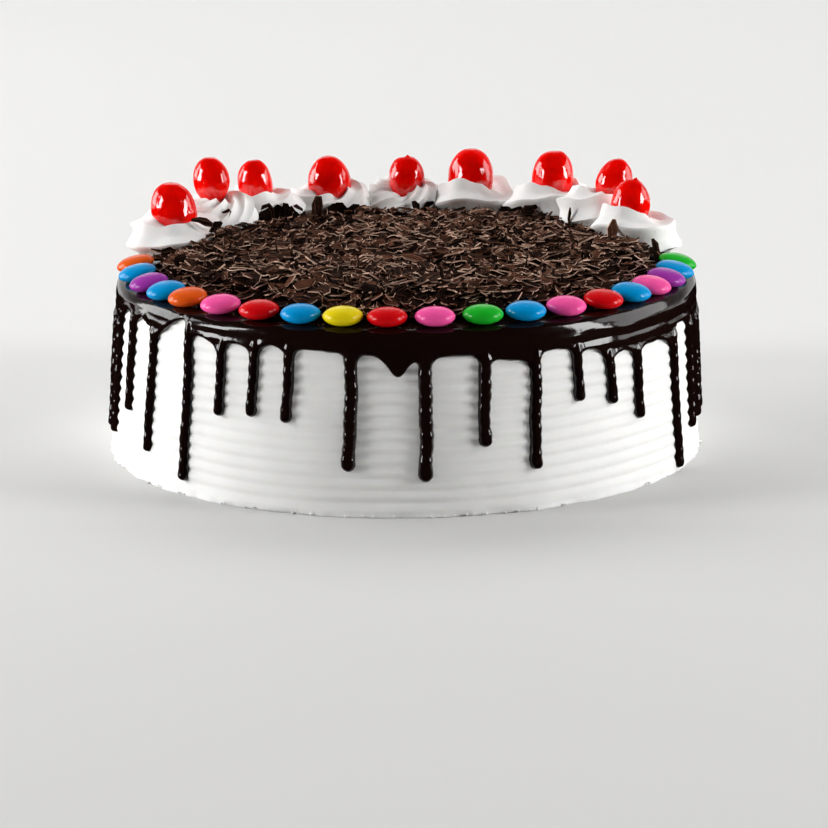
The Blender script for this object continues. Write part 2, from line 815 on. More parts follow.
def glaze_depth(azimuth, height, drips):
    """How far inside the glazed region a point of the side lies, and how far inside a drip."""
    glaze = settings("glaze")
    around = settings("cream").rim_radius
    place, drop, half = radians(BULGE[0]), BULGE[1] * MM, BULGE[2] * MM
    bulge = drop * hump(wrapped(azimuth - place) * around, half)
    edge = edge_height(azimuth, drips)
    ripple = lumps(round_cake(around, azimuth, 0 * height), 5 * MM, 31) * 0.35 * MM
    depth = height - edge + bulge + ripple
    strand = np.full(depth.shape, -1.0)
    crest = ridge_crest(azimuth, height)
    # A drip is a strand that sways a little, swells at its round tip and is thin above it.
    for place, tip, width, stray, *_ in drips:
        near = np.abs(wrapped(azimuth[0] - place)) * around < 4 * width
        high = height[:, near]
        run = np.clip((DRIP_START - high) / (DRIP_START - tip), 0, 1)
        sway = 0.22 * MM * np.sin(high / (6 * MM) + place * 9)
        sway = sway + 0.12 * MM * np.sin(high / (2.3 * MM) + place)
        across = wrapped(azimuth[:, near] - place) * around - stray * run**1.5 + sway
        bulb = hump(high - tip - width * 0.55, 3 * MM)
        neck = hump(high - tip - 8 * MM, 3.5 * MM)
        bead = glaze.bead * (crest[:, near] - 0.5) * (1 - bulb)
        half = width / 2 * (0.97 + 0.08 * bulb - 0.06 * neck) + bead
        below = np.clip(tip + width * 0.5 - high, 0, None)
        inside = half - np.hypot(across, below)
        depth[:, near] = smooth_max(depth[:, near], inside, glaze.fillet * 2)
        fade = 1 - ease(high, edge[:, near] - 1 * MM, edge[:, near] + 4 * MM)
        strand[:, near] = np.maximum(strand[:, near], inside * fade)
    place, level, half_width, half_height = radians(TEAR[0]), *(value * MM for value in TEAR[1:])
    across = wrapped(azimuth - place) * around + (height - level) * 0.4
    tear = (np.hypot(across / half_width, (height - level) / half_height) - 1) * half_width
    return np.minimum(depth, tear), strand


# How far in the glaze's edge stays round, where the lip behind it lies, and how high it is.
EDGE_ROUNDING = 0.8 * MM
LIP_PLACE = 1.1 * MM
LIP_HEIGHT = 0.3 * MM
# Half the width of the round part of a drip.
DRIP_ROUNDING = 1.9 * MM


def glaze_swell(depth, strand):
    """Thickness of the glaze from its depth: round at the edge, and half-round on a drip."""
    glaze = settings("glaze")
    inside = np.clip(depth, 0, None)
    coat = glaze.thickness * (1 - np.exp(-inside / EDGE_ROUNDING)) ** 0.55
    lip = LIP_HEIGHT * hump(inside - LIP_PLACE, EDGE_ROUNDING)
    middle = np.clip(strand, 0, DRIP_ROUNDING) / DRIP_ROUNDING
    bead = glaze.drip_proud * np.sqrt(middle * (2 - middle))
    return mix(coat + lip, bead, ease(strand, -0.1 * MM, 0.9 * MM) * 0.85)


def rounded_inset(rounding, above):
    """How far a rounded rim has drawn in at a height above the start of its rounding."""
    climbed = np.clip(above, 0, rounding)
    return rounding - np.sqrt(rounding * rounding - climbed * climbed)


def rim_heights():
    """Where the glaze begins to round over at the rim, and where the net of its side ends."""
    glaze = settings("glaze")
    shoulder = glaze.top - glaze.rounding
    return shoulder, shoulder + glaze.rounding * math.sin(radians(RIM_CUT))


def fit_border(across, high, depth):
    """Which points of the net to keep, and the net with those outside pulled onto the edge."""
    inside = depth > 0
    slope_up, slope_across = np.gradient(depth, settings("glaze").cell)
    steep = np.clip(slope_up**2 + slope_across**2, 0.25, None)
    padded = np.pad(inside, ((1, 1), (0, 0)), mode="edge")
    padded = np.concatenate([padded[:, -1:], padded, padded[:, :1]], axis=1)
    kept = np.zeros_like(inside)
    for down, over in itertools.product((0, 1, 2), repeat=2):
        kept |= padded[down:down + inside.shape[0], over:over + inside.shape[1]]
    pull = np.where(kept & ~inside, -depth / steep, 0)
    return kept, across + pull * slope_across / settings("cream").rim_radius, high + pull * slope_up


def side_radii(across, high, depth, strand):
    """Radii of the outer and the inner face of the glaze over the combed side."""
    cream, glaze = settings("cream"), settings("glaze")
    shoulder, side_top = rim_heights()
    strandness = np.clip(strand / (1.2 * MM) + 0.4, 0, 1)
    rim_fade = 1 - ease(high, 50 * MM, shoulder)
    base = combed_radius(across, high, mix(0.2 + 0.35 * rim_fade, 0.22, strandness))
    flat = round_cake(cream.rim_radius, across, high)
    base = base + lumps(flat * (1, 1, 1.6), 11 * MM, 22) * 0.3 * MM * (1 - strandness)
    cream_inset = rounded_inset(cream.rounding, high - cream.height + cream.rounding)
    bare = combed_radius(across, high) - cream_inset
    glazed = base + glaze_swell(depth, strand) - rounded_inset(glaze.rounding, high - shoulder)
    outer = np.where(depth > 0, glazed, bare - 0.1 * MM)
    return outer, mix(bare - 0.6 * MM, outer - SKIN_DEPTH, ease(high, 53 * MM, side_top))


def cut_skin(name, outer, inner, poles, kept, glazed):
    """A closed mesh of an outer and an inner net that meet in walls where they are cut."""
    rows, columns = kept.shape
    total = rows * columns
    top_row = total - columns
    corners = grid_faces(rows, columns)
    quads = corners[kept.ravel()[corners].all(axis=1) & glazed.ravel()[corners].any(axis=1)]
    edges = np.concatenate([quads[:, [side, (side + 1) % 4]] for side in range(4)])
    code, reverse = edges @ (total, 1), edges @ (1, total)
    cut = ~np.isin(code, reverse) & (edges < top_row).any(axis=1)
    start, end = edges[cut].T
    walls = np.stack([end, start, start + total, end + total], axis=-1)
    caps = np.concatenate([
        cap_faces(top_row, columns, total * 2),
        cap_faces(total + top_row, columns, total * 2 + 1)[:, [1, 0, 2]],
    ])
    points = np.concatenate([outer.reshape(-1, 3), inner.reshape(-1, 3), poles])
    quads = np.concatenate([quads, quads[:, ::-1] + total, walls])
    used = np.zeros(len(points), dtype=bool)
    used[quads.ravel()] = True
    used[caps.ravel()] = True
    number = np.cumsum(used) - 1
    return new_mesh(name, points[used], number[quads], number[caps])


def glaze_skin():
    """The glaze as one closed skin: a fine net over the side and rim, cut at its edge."""
    cream, glaze = settings("cream"), settings("glaze")
    columns = int(TURN * cream.rim_radius / glaze.cell)
    around = np.arange(columns)[None, :] * TURN / columns
    shoulder, side_top = rim_heights()
    across, high = np.broadcast_arrays(around, np.arange(0.4 * MM, side_top, glaze.cell)[:, None])
    depth, strand = glaze_depth(across, high, all_drips())
    side_kept, across, high = fit_border(across, high, depth)
    outer_radius, inner_radius = side_radii(across, high, depth, strand)

    cut_bend = radians(RIM_CUT)
    bend = np.linspace(cut_bend, RIGHT_ANGLE, 7)[1:, None]
    start_radius = outer_radius[-1:] + rounded_inset(glaze.rounding, side_top - shoulder)
    even = cream_radius(shoulder) + glaze.thickness
    rim_radius = mix(even, start_radius, np.cos(bend) / math.cos(cut_bend))
    rim_radius = rim_radius - glaze.rounding * (1 - np.cos(bend))
    rim_high = shoulder + glaze.rounding * np.sin(bend)
    rim = round_cake(rim_radius, around, rim_high)
    rim_inner = round_cake(
        rim_radius - SKIN_DEPTH * np.cos(bend), around, rim_high - SKIN_DEPTH * np.sin(bend)
    )
    top_radii = np.array([0.93, 0.86, 0.78, 0.6, 0.3])[:, None] * even
    top = round_cake(top_radii, around, glaze.top)
    top[..., 2] += lumps(top, 9 * MM, 21) * 0.12 * MM

    outer = np.concatenate([round_cake(outer_radius, across, high), rim, top])
    inner = np.concatenate([round_cake(inner_radius, across, high), rim_inner, top - (0, 0, SKIN_DEPTH)])
    kept, glazed = np.ones((2, *outer.shape[:2]), dtype=bool)
    kept[:len(depth)] = side_kept
    glazed[:len(depth)] = depth > 0
    poles = [round_cake(0, 0, glaze.top), round_cake(0, 0, glaze.top - SKIN_DEPTH)]
    return cut_skin("chocolate_glaze", outer, inner, poles, kept, glazed)


# ---------------------------------------- coated buttons

def button_half(azimuth):
    """Half the thickness of a button: those at the sides are a little flatter."""
    button = settings("button")
    return button.thickness / 2 * (1 - button.flattening * math.sin(radians(azimuth)) ** 2)


# How blunt a button's rim is and how full its faces are: 1 and 1 would make an ellipsoid.
BUTTON_RIM = 0.86
BUTTON_FACE = 1.12
# The gap between the glaze and a button, and how far out those at the sides have slid.
BUTTON_GAP = 0.3 * MM
BUTTON_SLIDE = 0.6 * MM


def button_mesh(index):
    """A lentil with a rounded edge, a little uneven."""
    half = button_half(BUTTONS[index][0])
    turn, lift = ball_angles(20, 48)
    across = settings("button").diameter / 2 * np.cos(lift) ** BUTTON_RIM
    up = half * np.sign(lift) * np.abs(np.sin(lift)) ** BUTTON_FACE
    shape = vectors(across * np.cos(turn), across * np.sin(turn), up)
    shape *= 1 + 0.012 * lumps(shape, 5 * MM, 40 + index)[..., None]
    return ring_mesh(f"coated_button_{index + 1}", (0, 0, -half), shape, (0, 0, half))


def place_button(mesh, azimuth):
    """Lays a button on the rim: it dips outward more the further it is from the front."""
    button, glaze = settings("button"), settings("glaze")
    turned = math.radians(azimuth)
    tilt = button.tilt * math.sin(turned) ** 2
    level = glaze.top + button_half(azimuth) + BUTTON_GAP
    centre = round_cake(button.ring_radius + BUTTON_SLIDE * math.sin(turned) ** 8, turned, level)
    mesh.transform(
        Matrix.Translation(Vector(centre)) @ Matrix.Rotation(turned, 4, "Z") @ Matrix.Rotation(tilt, 4, "X")
    )


# ---------------------------------------- rosettes

def rosette_centre(index):
    """Where a rosette stands on the glaze."""
    azimuth = radians(ROSETTES[index][0])
    return round_cake(settings("rosette").ring_radius, azimuth, settings("glaze").top)


def cherry_place(index):
    """A cherry's centre, half width, half height and the outward lean of its axis."""
    cherry = settings("cherry")
    _, _, width, height, step, top = ROSETTES[index]
    height = max(height, width * cherry.slenderness)
    centre = rosette_centre(index)
    centre = np.array([centre[0] + step * MM, centre[1], (top - height / 2) * MM])
    outward = centre * (1, 1, 0) / np.hypot(centre[0], centre[1])
    return centre, width / 2 * MM, height / 2 * MM, outward * cherry.lean


# A stroke with this many grooves has them at their full depth.
DEEPEST_GROOVES = 5
# Creases sharper than this stay sharp, in degrees.
CREASE = 38
# How far two rosettes may press into each other before they give way, and how softly.
ROSETTE_TOUCH = 1 * MM
ROSETTE_SOFTNESS = 3 * MM


def press_apart(shape, index):
    """Flattens a rosette's points where they would pass into the rosettes beside it."""
    centre = rosette_centre(index)
    for other in (index - 1, index + 1):
        if 0 <= other < len(ROSETTES):
            way = rosette_centre(other) - centre
            reach = np.linalg.norm(way) / 2
            side = way / (reach * 2)
            excess = np.clip(shape @ side - (reach - ROSETTE_TOUCH), 0, None)
            given = ROSETTE_SOFTNESS * (1 - np.exp(-excess / ROSETTE_SOFTNESS))
            shape = shape - (excess - given)[..., None] * side
    return shape


def rosette_mesh(index):
    """One stroke of a star nozzle: a grooved rope that winds in and up round the cherry."""
    rosette = settings("rosette")
    tallness = rosette.rope_height * ROSETTES[index][1]
    start, twist, wave, wave_start, grooves, width = STROKES[index]
    steps, sides = 160, 72
    course = np.linspace(0, 1, steps)[:, None]
    turned = radians(start) + course * rosette.turns * TURN
    taper = ease(course, -0.02, 0.1) ** 0.5 * (1 - 0.75 * ease(course, 0.82, 1.02))
    pulse = 1 + 0.05 * np.sin(turned * 4 + index) + 0.04 * np.sin(turned * 7 + 2 * index)
    path_radius = mix(rosette.radius - rosette.rope, 3 * MM, ease(course, 0.6, 1))
    waves = wave * MM * np.sin(2 * turned + radians(wave_start))
    path_height = tallness * 0.9 + 2.2 * MM * ease(course, 0.1, 0.75) + waves
    for owner, direction, rise, spread in PETALS:
        if owner == index + 1:
            off = wrapped(turned - radians(direction))
            path_height = path_height + rise * MM * hump(off, radians(spread))
    own = np.arange(sides)[None, :] * TURN / sides
    depth = rosette.groove_depth * (DEEPEST_GROOVES + 1) / (grooves + 1)
    star = 1 - depth * np.abs(np.sin(grooves / 2 * own)) ** 0.85
    section = own + radians(twist) * (turned / TURN)
    out = rosette.rope * star * taper * pulse * np.cos(section)
    up = tallness * star * taper * pulse * np.sin(section)
    radius = width * np.clip(path_radius + out, 0, None)
    shape = vectors(radius * np.cos(turned), radius * np.sin(turned), path_height + up)
    seeds = [60 + index + 9 * axis for axis in range(3)]
    shape += 0.3 * MM * np.stack([lumps(shape, 5 * MM, seed) for seed in seeds], axis=-1)

    shape = press_apart(shape, index)
    shape[..., 2] = np.clip(shape[..., 2], 0, None) + 0.1 * MM
    rings = shape + rosette_centre(index)
    first, last = rings[0].mean(axis=0), rings[-1].mean(axis=0)
    mesh = ring_mesh(f"rosette_swirl_{index + 1}", first, rings, last)
    mesh.set_sharp_from_angle(angle=math.radians(CREASE))
    return mesh


# ---------------------------------------- cherries

CHERRY_DENTS = 5
# The dimple on top of a cherry: its depth and spread, as shares of the cherry's size.
DIMPLE_DEPTH = 0.035
DIMPLE_SPREAD = 0.03
# The nub of a stalk: its direction, height and spread.
NUB_WAY = np.array([0.08, -0.1, 0.99])
NUB_HEIGHT = 0.12
NUB_SPREAD = 0.006


def cherry_mesh(index):
    """A glazed fruit, dented and lumpy, with a dimple or a nub on top."""
    cherry = settings("cherry")
    rng = np.random.default_rng(300 + index)
    centre, half_width, half_height, lean = cherry_place(index)
    rows, columns = 44, 72
    turn, lift = ball_angles(rows, columns)
    way = vectors(np.cos(lift) * np.cos(turn), np.cos(lift) * np.sin(turn), np.sin(lift))
    ways = np.concatenate([[[0, 0, -1], [0, 0, 1]], way.reshape(-1, 3)])
    size = 1 - cherry.taper * ways[:, 2]
    for _ in range(CHERRY_DENTS):
        middle = unit(rng.normal(size=3))
        near = np.exp(-(1 - ways @ middle) / rng.uniform(0.05, 0.16))
        size -= rng.uniform(0.25, 1) * cherry.dent / half_width * near
    size += 0.02 * lumps(ways, 0.8, 90 + index) + 0.014 * lumps(ways, 0.34, 120 + index)
    size += 0.005 * lumps(ways, 0.17, 150 + index)
    size -= DIMPLE_DEPTH * np.exp(-(1 - ways[:, 2]) / DIMPLE_SPREAD)
    missing = half_height * (1 - (ways[:, 2] * size).max())
    if index in CHERRIES_WITH_NUB:
        size += NUB_HEIGHT * np.exp(-((1 - ways @ NUB_WAY) / NUB_SPREAD))
    shape = ways * size[:, None] * (half_width, half_width, half_height)
    shape = shape + (0, 0, missing) + shape[:, 2:] * lean + centre
    rings = shape[2:].reshape(rows, columns, 3)
    return ring_mesh(f"glazed_cherry_{index + 1}", shape[0], rings, shape[1])


# ---------------------------------------- the flake heap

def heap_radius(azimuth):
    """How far out the heap reaches, to the buttons in front and the rosettes behind."""
    flakes, rosettes = settings("flakes"), settings("rosette")
    spill = hump(np.degrees(np.abs(wrapped(azimuth))) - SPILL_AZIMUTH, SPILL_SPREAD)
    radius = flakes.front_radius - 0.7 * MM * (1 + np.sin(azimuth * 7)) + flakes.spill * spill
    for row, stroke in zip(ROSETTES, STROKES):
        keep_out = rosettes.radius * stroke[-1] - rosettes.overlap
        off = wrapped(azimuth - radians(row[0]))
        sideways = rosettes.ring_radius * np.sin(off)
        hit = (np.cos(off) > 0) & (np.abs(sideways) < keep_out)
        reach = np.sqrt(np.clip(keep_out**2 - sideways**2, 0, None))
        limit = rosettes.ring_radius * np.cos(off) - reach
        radius = np.where(hit, np.minimum(radius, limit), radius)
    return radius


def heap_height(x, y):
    """Height of the heap's surface over the glaze at a point of the top."""
    flakes = settings("flakes")
    azimuth = np.arctan2(x, -y)
    reach = heap_radius(azimuth)
    inward = reach - np.hypot(x, y)
    backness = np.clip((flakes.front_radius - reach) / (16 * MM), 0, 1)
    edge = mix(flakes.front_edge, flakes.back_edge, backness)
    for place, extra, spread in HEAP_BANKS:
        edge = edge + extra * MM * hump(wrapped(azimuth - radians(place)), radians(spread))
    rise = ease(inward, 0, flakes.slope) ** 0.7
    spot = vectors(x, y, 0.0)
    rough = 0.9 * MM * lumps(spot, 13 * MM, 11) + 0.8 * MM * lumps(spot, 5.5 * MM, 12)
    return mix(edge, flakes.heap_height, rise) + rough * ease(inward, -2 * MM, 6 * MM)


# How far the core stays below the surface of the loose flakes.
BED_DEPTH = 2.4 * MM


def flake_bed():
    """The heap's core: a rough mound a little lower than the loose flakes on it."""
    glaze = settings("glaze")
    columns, rows = 260, 84
    azimuth = np.arange(columns)[None, :] * TURN / columns
    radius = (heap_radius(azimuth) - 0.4 * MM) * np.linspace(1, 0.02, rows)[:, None]
    flat = round_cake(radius, azimuth, glaze.top)
    x, y = flat[..., 0] - settings("cream").top_shift, flat[..., 1]
    rise = heap_height(x, y) - BED_DEPTH + 0.45 * MM * lumps(flat, 1.6 * MM, 15)
    top = flat + vectors(0.0, 0.0, np.clip(rise, 0.4 * MM, None))
    foot = (0, 0, 0.05 * MM)
    centre = round_cake(0, 0, glaze.top)
    rings = np.concatenate([flat[:1] + foot, top])
    return ring_mesh("flake_bed", centre + foot, rings, centre + (0, 0, 6.5 * MM))


def scatter_spots(rng, total, inset):
    """Random places over the heap, as x and y from its middle."""
    azimuth = rng.uniform(0, TURN, total)
    reach = heap_radius(azimuth) - inset
    radius = reach * np.sqrt(rng.uniform(0, 1, total))
    return radius * np.sin(azimuth), -radius * np.cos(azimuth)


def slope_frames(x, y, heading, tip, roll):
    """Axes of flakes that lie on the heap's slope, turned by a heading, a tip and a roll."""
    step = 2 * MM
    slope_x = (heap_height(x + step, y) - heap_height(x - step, y)) / (2 * step)
    slope_y = (heap_height(x, y + step) - heap_height(x, y - step)) / (2 * step)
    along = vectors(np.cos(heading), np.sin(heading), np.tan(tip))
    across = unit(np.cross(unit(vectors(-slope_x, -slope_y, 1.0)), along))
    along = unit(along)
    lift = np.cross(along, across)
    return axes(along, across * np.cos(roll)[:, None] + lift * np.sin(roll)[:, None])


def strips(rng, centres, frames, lengths, widths, thickness, bends, stations):
    """Points (flakes, stations, 4, 3) of thin bent bars with ragged outlines."""
    total = len(lengths)
    along = np.linspace(-0.5, 0.5, stations)
    ends = 1 - np.abs(2 * along) ** 4
    half = widths[:, None] / 2 * (0.48 + 0.52 * ends) * rng.uniform(0.65, 1.3, (total, stations))
    middle = widths[:, None] * rng.normal(0, 0.1, (total, stations))
    curve = np.where(np.abs(bends) < 0.05, 0.05, bends)[:, None]
    x = lengths[:, None] * np.sin(curve * along) / curve
    z = lengths[:, None] * (1 - np.cos(curve * along)) / curve
    z = z + rng.normal(0, 0.05, (total, stations)) * widths[:, None]
    high = thickness[:, None] / 2 * rng.uniform(0.8, 1.2, (total, stations))
    corners = ((-1, -1), (1, -1), (1, 1), (-1, 1))
    local = np.stack([vectors(x, middle + side * half, z + up * high) for side, up in corners], axis=2)
    return np.einsum("nij,nskj->nski", frames, local) + centres[:, None, None, :]


# Sets each flake's ribs apart from those of the one before.
RIB_SHIFT = 7.3


def flake_mesh(name, points, tones, edge_gain):
    """One closed bar per flake; the thin sides and the ends are paler than the faces."""
    total, stations = points.shape[:2]
    last = (stations - 1) * 4
    ends = [[0, 1, 2, 3], [last + 3, last + 2, last + 1, last]]
    bar = np.concatenate([grid_faces(stations, 4)[:, [0, 3, 2, 1]], ends])
    thin = np.concatenate([np.tile([0, 1, 0, 1], stations - 1), [1, 1]])
    faces = (bar[None] + (np.arange(total) * stations * 4)[:, None, None]).reshape(-1, 4)
    mesh = new_mesh(name, points.reshape(-1, 3), faces)
    mesh.shade_flat()
    widths = np.linalg.norm(points[:, 2, 1] - points[:, 2, 0], axis=1)[:, None]
    across = np.tile([-0.5, 0.5, 0.5, -0.5], stations) * widths / MM
    across = across + RIB_SHIFT * np.arange(total)[:, None]
    for key, domain, values in (
        ("tone", "FACE", tones[:, None] + edge_gain * thin[None]),
        ("across", "POINT", across),
    ):
        data = mesh.attributes.new(key, "FLOAT", domain).data
        data.foreach_set("value", values.astype(np.float32).ravel())
    return mesh


# Loose flakes of each kind: the seed, then least and greatest length, width, thickness, bend,
# tone and lift over the heap, then tilt, how far inside the heap's edge they stop, and how
# many rows of points a flake has. Bends and tilts are in radians.
FLAKE_KINDS = {
    "plates": (11, (3, 11), (1.6, 5.2), (0.25, 0.5), (0, 0.25), (0.04, 0.6), (-0.9, 1.9), 0.22, 1.6, 4),
    "shreds": (12, (2, 9.5), (0.25, 1.1), (0.2, 0.4), (0, 0.35), (0, 0.5), (-0.7, 1.3), 0.15, 1.2, 4),
    "curls": (13, (6, 13), (0.7, 2), (0.18, 0.3), (2.5, 5), (0.15, 0.45), (-0.2, 0.9), 0.35, 3, 12),
    "splinters": (14, (0.8, 4), (0.3, 1.1), (0.2, 0.4), (0, 0.6), (0, 0.5), (-0.8, 1.2), 0.25, -0.8, 3),
}


def loose_flakes(kind):
    """Flakes of one kind strewn over the heap, finer and paler towards the back."""
    seed, lengths, widths, depths, bends, tones, lifts, tilt, inset, stations = FLAKE_KINDS[kind]
    total = getattr(settings("flakes"), kind)
    rng = np.random.default_rng(seed)
    x, y = scatter_spots(rng, total, inset * MM)
    back = ease(y, -60 * MM, 50 * MM)
    scale = mix(1.15, 0.72, back) * MM
    long = mix(*lengths, rng.beta(1.6, 2.8, total)) * scale
    wide = mix(*widths, rng.beta(1.6, 2.6, total)) * scale
    thick = rng.uniform(*depths, total) * MM
    heading = rng.uniform(0, TURN, total)
    frames = slope_frames(x, y, heading, rng.normal(0, tilt, total), rng.normal(0, tilt * 1.3, total))
    high = settings("glaze").top + heap_height(x, y) + rng.uniform(*lifts, total) * MM
    bend = rng.uniform(*bends, total) * rng.choice([-1, 1], total)
    centres = vectors(x + settings("cream").top_shift, y, high)
    bars = strips(rng, centres, frames, long, wide, thick, bend, stations)
    tone = rng.uniform(*tones, total) * (1 + 0.2 * back) - 0.03 - 0.02 * back
    gain = rng.uniform(0.25, 1.1, total) - 0.14 * back
    return flake_mesh(f"flake_{kind}", bars, tone, gain[:, None])


# Flakes that stand at the heap's back edge or lie on the cream there: azimuth in degrees, how
# far inside the edge, how far their middle is over the heap, length, width, heading and
# steepness in degrees, and tone.
STANDING_FLAKES = (
    (-131, 1.5, 1.4, 6.5, 4.2, 10, 62, 0.26),
    (-134, 1.2, 2.2, 7.5, 4.6, 170, 74, 0.2),
    (-137, 1.4, 2, 6.5, 4, 20, 58, 0.12),
    (-140, 1, 2.4, 7, 4.4, 0, 78, 0.16),
    (-143, 1.3, 1.8, 6.5, 3.8, 160, 66, 0.12),
    (-146, 1.2, 2.2, 7, 3.2, 175, 70, 0.32),
    (-148.5, 1.4, 2.8, 8, 3.2, 165, 68, 0.36),
    (-153, 1.2, 3.2, 10, 3.8, 0, 84, 0.38),
    (-157, 1.4, 2.4, 6, 3.4, 20, 30, 0.14),
    (-160, 1.2, 2.6, 6.5, 3, 170, 24, 0.12),
    (-163, 1.4, 2.2, 6, 2.6, 10, 16, 0.18),
    (-168, 1.6, 1, 8, 2.2, 4, 6, 0.5),
    (177, 1.4, 2, 5, 2.4, 120, 60, 0.22),
    (174, 1.2, 2.4, 6, 2, 20, 28, 0.16),
    (172, 0.8, 2.8, 7, 2.2, 24, 24, 0.14),
    (147, 1.4, 1.2, 7, 2.4, 170, 10, 0.18),
    (143, 1.2, 1.6, 7.5, 2.6, 5, 14, 0.14),
    (139, 1.4, 1.4, 6, 2.4, 20, 20, 0.22),
    (120, 1.5, 3.4, 6, 0.8, 0, 86, 0.22),
    (95.75, 4.2, 3.9, 10, 3, 8, 84, 0.55),
    (93, 3.2, 2, 6.5, 2.2, 160, 64, 0.26),
    (-116, -1.4, 4.6, 7, 2.4, 0, 38, 0.3),
    (-98, -2, 4.4, 7.5, 2.6, 172, 12, 0.3),
    (-100, -1, 2.8, 6.5, 1.4, 160, 20, 0.2),
    (-101, 0.5, 1.6, 5.5, 3, 30, 40, 0.14),
)

# The way that the broad faces of standing flakes look.
FACING = (0.15, -1, 0.25)


def standing_mesh():
    """Angular flakes at the heap's back edge, each with its broad face to the front."""
    rng = np.random.default_rng(15)
    azimuth, inset, above, long, wide, heading, steep, tone = np.array(STANDING_FLAKES).T
    turned, heading, steep = radians(azimuth), radians(heading), radians(steep)
    reach = heap_radius(turned) - inset * MM
    x, y = reach * np.sin(turned), -reach * np.cos(turned)
    z = settings("glaze").top + heap_height(x, y) + above * MM
    centres = vectors(x + settings("cream").top_shift, y, z)
    flat = np.cos(steep)
    along = vectors(np.cos(heading) * flat, np.sin(heading) * flat, np.sin(steep))
    frames = axes(along, unit(np.cross(along, FACING)))
    thick = rng.uniform(0.6, 1.1, len(azimuth)) * MM
    bends = rng.uniform(-0.4, 0.4, len(azimuth))
    bars = strips(rng, centres, frames, long * MM, wide * MM, thick, bends, 4)
    return flake_mesh("flake_standing", bars, tone, 0.3)


# ---------------------------------------- operators

class CAKE_OT_cream(bpy.types.Operator):
    """Make the combed coat of whipped cream"""

    bl_idname = "cake.cream"
    bl_label = "Cream Coat"

    def execute(self, context):
        finish = cream_finish()
        add_piece(cream_coat(), finish, "cream", "cake_body")
        add_piece(foot_crumbs(), finish, "cream")
        return {"FINISHED"}


class CAKE_OT_glaze(bpy.types.Operator):
    """Pour the chocolate glaze with its drips"""

    bl_idname = "cake.glaze"
    bl_label = "Chocolate Glaze"

    def execute(self, context):
        add_piece(glaze_skin(), glaze_finish(), "glaze", "glaze")
        return {"FINISHED"}


class CAKE_OT_buttons(bpy.types.Operator):
    """Lay the coated buttons round the front of the rim"""

    bl_idname = "cake.buttons"
    bl_label = "Coated Buttons"

    def execute(self, context):
        finishes = {}
        for index, (azimuth, name) in enumerate(BUTTONS):
            if name not in finishes:
                finishes[name] = button_finish(name, tuple(getattr(settings("button"), name)))
            mesh = button_mesh(index)
            place_button(mesh, azimuth)
            add_piece(mesh, finishes[name], f"button_{name}", f"button_{index + 1}_{name}")
        return {"FINISHED"}


class CAKE_OT_rosettes(bpy.types.Operator):
    """Pipe the cream rosettes round the back of the rim"""

    bl_idname = "cake.rosettes"
    bl_label = "Rosettes"

    def execute(self, context):
        finish = bpy.data.materials.get("whipped cream") or cream_finish()
        for index in range(len(ROSETTES)):
            add_piece(rosette_mesh(index), finish, "cream", f"rosette_{index + 1}")
        return {"FINISHED"}


class CAKE_OT_cherries(bpy.types.Operator):
    """Set a glazed cherry on each rosette"""

    bl_idname = "cake.cherries"
    bl_label = "Glazed Cherries"

    def execute(self, context):
        finish = cherry_finish()
        for index in range(len(ROSETTES)):
            add_piece(cherry_mesh(index), finish, "cherry", f"cherry_{index + 1}")
        return {"FINISHED"}


class CAKE_OT_flakes(bpy.types.Operator):
    """Heap the chocolate flakes over the middle of the top"""

    bl_idname = "cake.flakes"
    bl_label = "Chocolate Flakes"

    def execute(self, context):
        finish = flake_finish()
        add_piece(flake_bed(), finish, "flakes", "flake_heap")
        for kind in FLAKE_KINDS:
            add_piece(loose_flakes(kind), finish, "flakes")
        add_piece(standing_mesh(), finish, "flakes")
        return {"FINISHED"}


# The stage, in metres. Softboxes stand round the cake: name, azimuth in degrees, width and
# power in watts.
SOFTBOXES = (
    ("left", -77, 0.42, 16.6),
    ("left rim", -111, 0.9, 13.2),
    ("right", 74, 0.42, 16.2),
    ("right rim", 104, 0.9, 7),
)
SOFTBOX_DISTANCE = 1.5
SOFTBOX_LEVEL = 0.5
SOFTBOX_HEIGHT = 0.9
LIGHT_AIM = (0, 0, 0.05)
# The lamp overhead: its place, what it faces, its width, its depth and its power.
OVERHEAD = ((0, 1.8, 1.9), (0, 1.2, 0), 2.4, 1.4, 34)
WORLD_POWER = 0.57
# Half the width of the floor, its front end, and where the backdrop takes over from it.
FLOOR_REACH = 4.0
FLOOR_FRONT = -4.0
FLOOR_BACK = 0.35
# Where the backdrop begins to climb, and the radius of its bend.
SWEEP_START = 1.2
SWEEP_RADIUS = 1.5
# Between these distances behind the cake's middle, the floor's tint turns into the wall's.
TINT_FROM = -0.3
TINT_TO = 0.25


def area_light(name, place, target, width, height, power):
    """A soft lamp that faces a target."""
    light = bpy.data.lights.new(name, "AREA")
    light.shape = "RECTANGLE"
    light.size, light.size_y = width, height
    light.energy = power
    lamp = bpy.data.objects.new(name, light)
    bpy.context.scene.collection.objects.link(lamp)
    lamp.location = place
    lamp.rotation_euler = (Vector(target) - Vector(place)).to_track_quat("-Z", "Y").to_euler()
    return lamp


